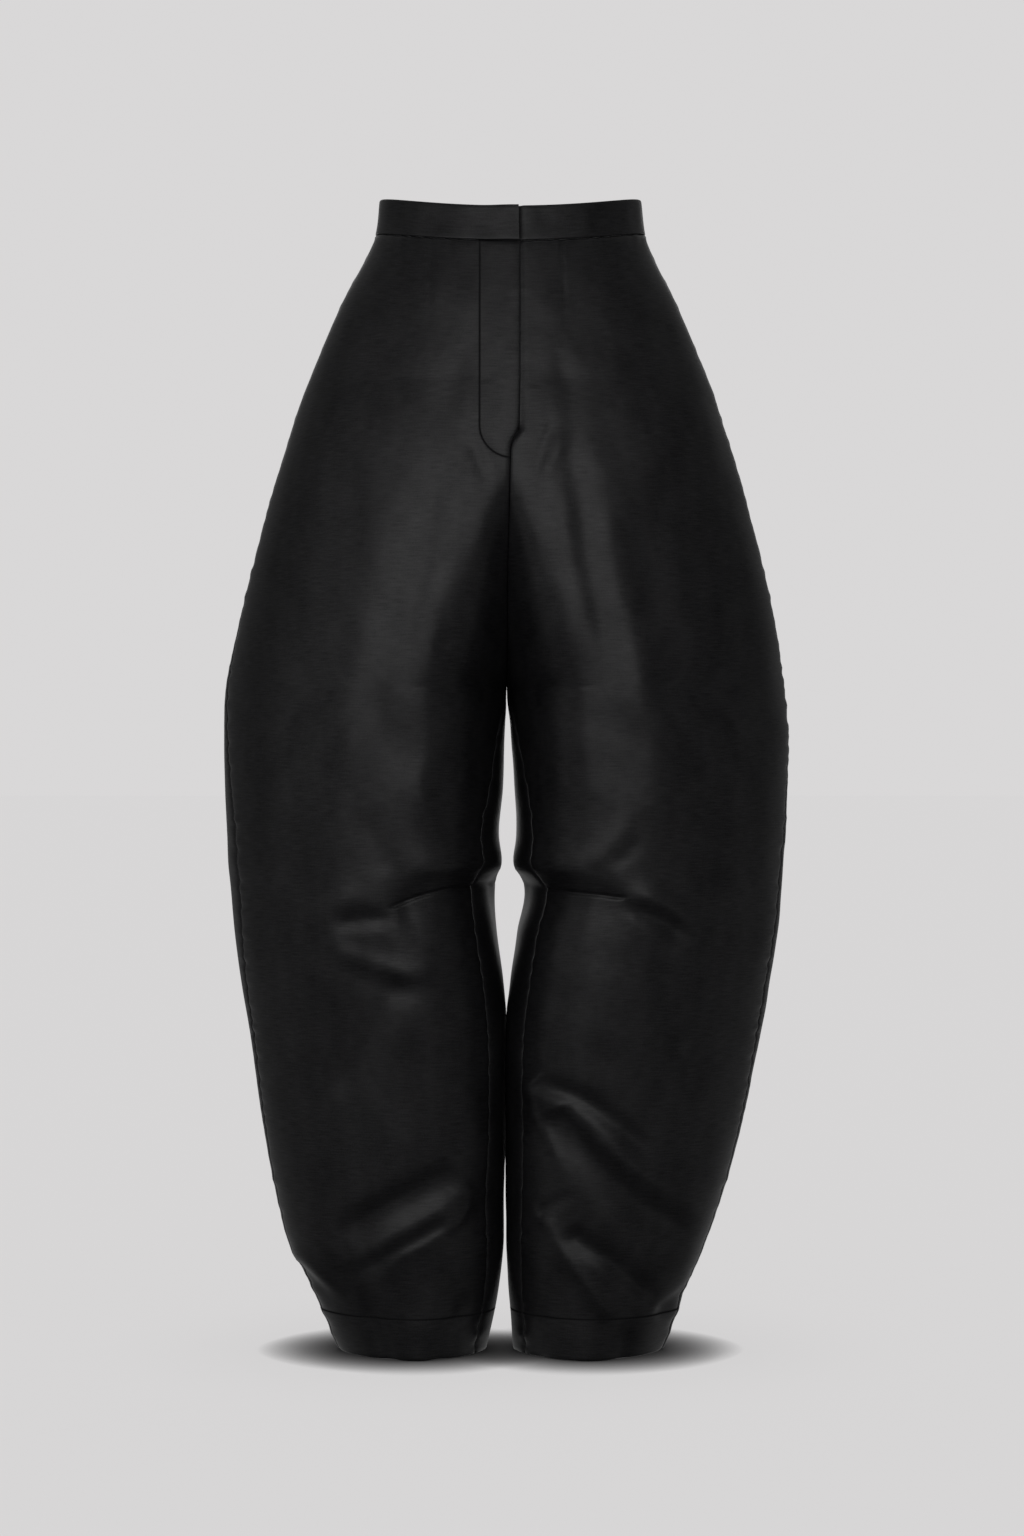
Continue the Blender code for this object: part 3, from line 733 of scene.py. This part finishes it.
# The band's section: share of the width, inward in millimetres
bandSection = (
    (0.000, 0.35), (0.012, 0.08), (0.05, 0.0), (0.16, -0.1), (0.30, -0.15), (0.45, -0.15), (0.60, -0.15), (0.75, -0.1),
    (0.88, 0.0), (0.955, 0.10), (0.985, 0.35), (1.0, 0.8), (1.0, 1.4), (0.985, 1.9), (0.955, 2.1), (0.85, 2.2),
    (0.55, 2.2), (0.25, 2.2), (0.05, 2.2), (0.0, 2.0), (-0.006, 1.2),
)


def bandStrip():
    half = 0.125
    start = math.acos(-band["overEnd"] / half)
    dive = math.acos((band["overEnd"] + band["dive"]) / half)
    stop = math.acos(band["underEnd"] / half)
    quarter = band["columns"]
    parts = (
        ("right", np.linspace(start, 0, quarter, endpoint=False), 0),
        ("right", np.linspace(0, -math.pi / 2, quarter, endpoint=False), 0),
        ("left", np.linspace(-math.pi / 2, 0, quarter, endpoint=False), 0),
        ("left", np.linspace(0, dive, quarter, endpoint=False), 0),
        ("left", np.linspace(dive, stop, 24), 1),
    )
    up, inward = np.array(bandSection).T
    grids = []
    for leg, angles, dives in parts:
        low = shape["waistSeam"] + waistDip(angles) + shape["seamGap"] / 2
        heights = low[:, None] + up[None] * band["width"]
        angles = np.broadcast_to(angles[:, None], heights.shape)
        points = legPoint(leg, heights, angles)
        normals = legNormal(leg, heights, angles)
        x = points[..., 0]
        under = ease((band["overEnd"] + 0.005 - x) / 0.0045) * dives * (band["thick"] + 0.0002)
        over = ease((x + 0.030) / 0.030) * (leg == "right") * (angles > 0) * band["proud"]
        ripple = 0.00022 * np.sin(x * 210 + points[..., 1] * 160) * np.sin(up * math.pi)
        points -= normals * (inward / 1000 + under - over - ripple)[..., None]
        points[..., 2] += over * 0.9 * up
        grids.append(points)
    return np.concatenate(grids)


points = bandStrip()
waistband = gridMesh("waistband_cloth", points, False, 0, closed=True)
ends = waistband.data
count = len(bandSection)
total = points.shape[0] * count
faces = [tuple(range(count))[::-1], tuple(range(total - count, total))]
strip = bpy.data.meshes.new("waistband_cloth")
quads = [tuple(face.vertices) for face in ends.polygons]
strip.from_pydata([tuple(v.co) for v in ends.vertices], [], quads + faces)
layer = strip.uv_layers.new(name="cloth")
along = np.linspace(0, band["cut"][1], points.shape[0])
around = np.linspace(0, 2 * band["cut"][0], count)
for polygon in strip.polygons:
    for loop in polygon.loop_indices:
        vertex = strip.loops[loop].vertex_index
        layer.uv[loop].vector = (along[vertex // count], around[vertex % count])
strip.shade_smooth()
strip.set_sharp_from_angle(angle=math.radians(60))
waistband.data = strip
strip.materials.append(blackSatin("satin_waistband"))
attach(waistband, "root")
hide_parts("waistband")
print("waistband", len(strip.polygons), "faces")

# The fly shield, behind the fly opening
shield = {"left": 0.020, "right": -0.028, "length": 0.210, "behind": 0.0048, "cloth": 0.0013}


def frontPoint(leg, x, heights):
    out = form(leg + "Out", heights)
    halfWidth = (out - form("middle", heights)) / (1 - np.cos(endAngle(heights)))
    return legPoint(leg, heights, np.arccos(np.clip(1 - (out - x) / halfWidth, -1, 1)))


top = shape["waistSeam"] - shape["seamDipFront"] - 0.002
heights, x = np.meshgrid(
    np.linspace(top - shield["length"], top, 60), np.linspace(shield["left"], shield["right"], 25), indexing="ij"
)
right, left = frontPoint("right", x, heights), frontPoint("left", x, heights)
points = np.where(x[..., None] < form("middle", heights)[..., None], right, left)
points[..., 1] += shield["behind"] + 0.0003 * np.sin(heights * 180)
flyShield = gridMesh("fly_shield_cloth", points, True, shield["cloth"])
flyShield.data.materials.append(blackSatin("satin_fly_shield"))
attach(flyShield, "root")
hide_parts("fly_shield")
print("fly shield")


# Stitches that show: the fly's curved line and the hems
def surfaceOf(piece):
    vertices = [v.co.copy() for v in piece.data.vertices]
    return BVHTree.FromPolygons(vertices, [tuple(p.vertices) for p in piece.data.polygons])


def sewn(name, tree, path, stitch, inward):
    path = np.array(path, float)
    run = np.concatenate([[0], np.cumsum(np.linalg.norm(np.diff(path, axis=0), axis=1))])
    pitch = stitch["length"] + stitch["gap"]
    starts = np.arange(0, run[-1] - stitch["length"], pitch)
    ring = np.linspace(0, 2 * math.pi, 6, endpoint=False)
    vertices, faces = [], []
    for begin in starts:
        base = len(vertices)
        for share in np.linspace(0, 1, 5):
            place = Vector([np.interp(begin + share * stitch["length"], run, path[:, i]) for i in range(3)])
            later = Vector([np.interp(begin + share * stitch["length"] + 1e-4, run, path[:, i]) for i in range(3)])
            hit, normal = tree.find_nearest(place)[:2]
            along = (later - place).normalized()
            out = (normal - normal.dot(along) * along).normalized()
            if out.dot(inward(place)) > 0:
                out = -out
            side = along.cross(out)
            bulge = stitch["radius"] * (0.35 + 0.65 * math.sin(math.pi * share))
            centre = hit + out * stitch["radius"] * (1.1 * math.sin(math.pi * share) - 0.35)
            for angle in ring:
                vertices.append(centre + (out * math.cos(angle) + side * math.sin(angle)) * bulge)
        for i in range(4):
            for j in range(6):
                k = (j + 1) % 6
                a = base + i * 6
                faces.append((a + j, a + k, a + 6 + k, a + 6 + j))
        faces.append(tuple(base + j for j in range(6))[::-1])
        faces.append(tuple(base + 24 + j for j in range(6)))
    mesh = bpy.data.meshes.new(name)
    mesh.from_pydata([tuple(v) for v in vertices], [], faces)
    mesh.shade_smooth()
    piece = bpy.data.objects.new(name, mesh)
    scene.collection.objects.link(piece)
    mesh.materials.append(threadMaterial)
    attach(piece, "root")
    return piece


thread = {"colour": (0.0012, 0.0012, 0.0014), "roughness": 0.8, "specular": 0.04}


def blackThread():
    paint = Paint("black_thread")
    place = paint.node("ShaderNodeTexCoord", output=3)
    twist = paint.node("ShaderNodeTexNoise", None, {"Vector": place, "Scale": 2600.0, "Detail": 1.0})
    colour = paint.mix(twist, thread["colour"], tuple(2 * c for c in thread["colour"]))
    shader = paint.node(
        "ShaderNodeBsdfPrincipled",
        None,
        {
            "Base Color": colour,
            "Roughness": thread["roughness"] + twist * 0.1,
            "Specular IOR Level": thread["specular"],
        },
    )
    return paint.finish(shader)


threadMaterial = blackThread()
trees = {name: surfaceOf(piece) for name, piece in panels.items()}


def frontHit(tree, x, height):
    hit = tree.ray_cast(Vector((x, -0.4, height - waistHeight)), Vector((0, 1, 0)))[0]
    return hit


flyHeights = np.arange(1.014, flyStitch["turnHeight"], -0.004)
flyPath = [frontHit(trees["front_right"], -flyStitch["reach"], h) for h in flyHeights]
for turn in np.linspace(0, math.pi / 2 * 0.97, 16):
    x = -flyStitch["reach"] * math.cos(turn)
    flyPath.append(frontHit(trees["front_right"], x, flyStitch["turnHeight"] - flyStitch["reach"] * math.sin(turn)))
sewn("fly_stitches", trees["front_right"], [tuple(p) for p in flyPath if p], flyStitch, lambda p: Vector((0, 1, 0)))

for leg in ("right", "left"):
    for face in ("front", "back"):
        name = f"{face}_{leg}"
        seam = float(np.radians(column(sideSeamRows, sideSeamNames, leg, np.array(hemStitch["height"]))))
        edge = math.pi - math.radians(shape["inseamTurn"])
        edge = edge if face == "front" else edge - 2 * math.pi
        angles = np.linspace(seam + 0.01 * np.sign(edge), edge - 0.01 * np.sign(edge), 90)
        heights = np.full(90, hemStitch["height"])
        path = legPoint(leg, heights, angles) - (0, 0, waistHeight)
        centre = Vector((float(form(leg + "Out", 0.03) + form(leg + "In", 0.03)) / 2, 0, 0))
        path = path + legNormal(leg, heights, angles) * 0.002
        sewn("hem_stitches_" + name, trees[name], path, hemStitch, lambda p, c=centre: Vector((c.x - p.x, -p.y, 0)))
print("stitches")

# Floor and light
studio = {
    "backdrop": (0.694, 0.684, 0.686),
    # what the room around gives, where the camera doesn't see it: height of the direction, brightness
    "room": ((0.0, 0.05), (0.20, 0.14), (0.32, 0.56), (0.46, 0.27), (0.62, 0.24), (1.0, 0.36)),
    "floor": 0.14,
    "floorGlow": 0.600,
    # how far and how strongly ambient occlusion darkens the floor's glow near the cloth: a painted contact shadow
    "paintedShadowReach": 0.070,
    "paintedShadowPower": 4.6,
    "overhead": 0.90,
    "overheadSpread": 26,
    "key": {"place": (-0.55, -3.7, 0.35), "aim": (0, 0, -0.40), "size": (4.8, 2.5), "power": 128},
    "hips": {"place": (2.2, -2.5, 1.3), "aim": (0, 0, -0.20), "size": (0.8, 0.8), "power": 5},
    "side": {"place": (-3.2, -1.5, 0.30), "aim": (0, 0, -0.50), "size": (1.6, 2.6), "power": 12},
    "back": {"place": (0.0, 3.8, 0.40), "aim": (0, 0, -0.40), "size": (3.0, 2.5), "power": 14},
}
world = bpy.data.worlds.new("studio")
scene.world = world
paint = Paint("studio", world)
direction = paint.node("ShaderNodeTexCoord")
up = paint.node("ShaderNodeSeparateXYZ", None, {0: direction}, 2)
room = paint.node("ShaderNodeValToRGB", {"greyStops": studio["room"]}, {0: up * 0.5 + 0.5})
around = paint.node("ShaderNodeBackground", None, {"Color": room})
seen = paint.node("ShaderNodeBackground", None, {"Color": (*studio["backdrop"], 1)})
fromCamera = paint.node("ShaderNodeLightPath")
paint.finish(paint.node("ShaderNodeMixShader", None, {0: fromCamera, 1: around, 2: seen}), "ShaderNodeOutputWorld")

floorMesh = bpy.data.meshes.new("floor")
floorMesh.from_pydata([(-60, -60, 0), (60, -60, 0), (60, 60, 0), (-60, 60, 0)], [], [(0, 1, 2, 3)])
floor = bpy.data.objects.new("floor", floorMesh)
floor.location.z = -waistHeight
scene.collection.objects.link(floor)
floor.visible_glossy = False
paint = Paint("pale_floor")
# The floor's glow is darkened where ambient occlusion finds cloth nearby: a painted contact shadow round the hems.
near = paint.node("ShaderNodeAmbientOcclusion", {"samples": 24}, {"Distance": studio["paintedShadowReach"]}, 1)
paintedShadowGlow = near ** studio["paintedShadowPower"] * studio["floorGlow"] / studio["backdrop"][0]
paintedShadowColour = paint.node("ShaderNodeMix", {"data_type": "RGBA"}, {0: paintedShadowGlow, 6: (0, 0, 0, 1), 7: (*studio["backdrop"], 1)}, 2)
floorMesh.materials.append(
    paint.finish(
        paint.node(
            "ShaderNodeBsdfPrincipled",
            None,
            {
                "Base Color": (*(studio["floor"] * c / studio["backdrop"][0] for c in studio["backdrop"]), 1),
                "Roughness": 1.0,
                "Specular IOR Level": 0.0,
                "Emission Color": paintedShadowColour,
                "Emission Strength": 1.0,
            },
        )
    )
)


# The softboxes light the cloth alone, so the floor stays as even as in the photo.
clothOnly = bpy.data.collections.new("cloth_only")
for piece in scene.objects:
    if piece.type == "MESH" and piece is not floor:
        clothOnly.objects.link(piece)


def softbox(name, box):
    light = bpy.data.lights.new(name, "AREA")
    light.shape = "RECTANGLE"
    light.size, light.size_y = box["size"]
    light.energy = box["power"]
    lamp = bpy.data.objects.new(name, light)
    lamp.location = box["place"]
    lamp.rotation_euler = (Vector(box["aim"]) - Vector(box["place"])).to_track_quat("-Z", "Y").to_euler()
    lamp.light_linking.receiver_collection = clothOnly
    scene.collection.objects.link(lamp)


softbox("key", studio["key"])
softbox("hips", studio["hips"])
softbox("side", studio["side"])
softbox("back", studio["back"])
sun = bpy.data.lights.new("overhead", "SUN")
sun.energy = studio["overhead"]
sun.angle = math.radians(studio["overheadSpread"])
scene.collection.objects.link(bpy.data.objects.new("overhead", sun))
scene.view_settings.view_transform = "Standard"
print("studio")

bpy.context.view_layer.update()
